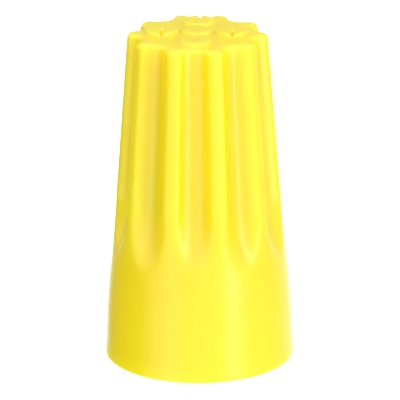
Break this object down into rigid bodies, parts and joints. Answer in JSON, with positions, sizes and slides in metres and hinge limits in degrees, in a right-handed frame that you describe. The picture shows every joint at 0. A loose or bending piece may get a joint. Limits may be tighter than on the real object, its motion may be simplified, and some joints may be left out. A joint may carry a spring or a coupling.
{
  "type": "twist-on wire connector",
  "caption": "Tapered plastic cap with moulded finger flutes over a conical spring, open at its wide end, that screws onto the stripped ends of electrical wires.",
  "frame": {"origin": "centre of the mouth plane, on which the connector stands", "axes": "+Z along the cap's axis from the open mouth to the closed end; one flute faces -Y"},
  "size_m": [0.015, 0.015, 0.0267],
  "materials": {
    "cap_plastic": "satin to glossy yellow polypropylene, as moulded",
    "spring_wire": "zinc-plated square steel wire, drawn and wound"
  },
  "bodies": {
    "root": {"cap": "cap_plastic", "spring": "spring_wire"}
  },
  "joints": []
}
